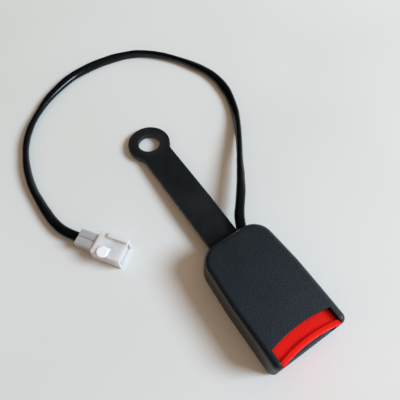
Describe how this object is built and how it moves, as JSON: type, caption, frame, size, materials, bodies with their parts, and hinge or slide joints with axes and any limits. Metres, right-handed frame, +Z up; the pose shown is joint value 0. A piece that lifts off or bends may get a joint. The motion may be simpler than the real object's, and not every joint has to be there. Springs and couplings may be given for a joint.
{
  "type": "seat belt buckle",
  "caption": "Seat belt buckle: black moulded housing with a red end push button, a flat steel strap with an anchor eye, and a warning-switch lead with a white connector.",
  "frame": {"origin": "under the middle of the buckle's length and width, on the surface it lies on; the lead is left out of that middle", "axes": "+X across the buckle, +Y from the mouth to the anchor eye, +Z up out of the top cover"},
  "size_m": [0.1463, 0.2332, 0.02],
  "materials": {
    "black_plastic": "fine-textured black moulding",
    "red_plastic": "satin red moulding",
    "coated_steel": "satin black coating on steel",
    "plated_steel": "zinc-plated pressed steel",
    "spring_steel": "drawn spring wire",
    "ejector_plastic": "natural acetal",
    "switch_plastic": "black switch moulding",
    "sleeve": "glossy black soft sleeve",
    "rubber_black": "black rubber",
    "wire_insulation": "black wire insulation",
    "white_nylon": "translucent white nylon",
    "brass_contact": "stamped brass"
  },
  "bodies": {
    "housing": {"top_cover": "black_plastic", "bottom_cover": "black_plastic", "buckle_frame": "plated_steel", "anchor_strap": "coated_steel", "strap_rivets": "plated_steel", "latch_pin": "spring_steel", "spring_bridge": "plated_steel", "switch_case": "switch_plastic", "switch_blades": "brass_contact", "switch_wires": "wire_insulation", "cable_grommet": "rubber_black", "ejector_spring": "spring_steel", "latch_spring": "spring_steel", "switch_spring": "spring_steel", "button_spring_left": "spring_steel", "button_spring_right": "spring_steel", "lead_sleeve": "sleeve", "connector_body": "white_nylon", "connector_terminals": "brass_contact", "connector_lock": "white_nylon"},
    "button": {"press_button": "red_plastic"},
    "latch": {"latch_plate": "plated_steel"},
    "ejector": {"ejector": "ejector_plastic"},
    "plunger": {"switch_plunger": "ejector_plastic"}
  },
  "joints": [
    {"name": "button_slide", "type": "slide", "parent": "housing", "child": "button", "axis": [0, 1, 0], "range_m": [0, 0.005], "stiffness_N_per_m": 1500, "springref_m": -0.003, "deforming": ["button_spring_left", "button_spring_right"]},
    {"name": "latch_pivot", "type": "hinge", "parent": "housing", "child": "latch", "pos_m": [0, -0.03125, 0.0103], "axis": [-1, 0, 0], "range_deg": [0, 9], "deforming": ["latch_spring"]},
    {"name": "ejector_slide", "type": "slide", "parent": "housing", "child": "ejector", "axis": [0, 1, 0], "range_m": [0, 0.008], "stiffness_N_per_m": 600, "springref_m": -0.004, "deforming": ["ejector_spring"]},
    {"name": "plunger_slide", "type": "slide", "parent": "housing", "child": "plunger", "axis": [0, 0, 1], "range_m": [0, 0.0008], "deforming": ["switch_spring"]}
  ],
  "couplings": [
    {"joint": "latch_pivot", "follows": "button_slide", "rad_per_m": 31.4},
    {"joint": "plunger_slide", "follows": "ejector_slide", "ratio": 0.1}
  ]
}
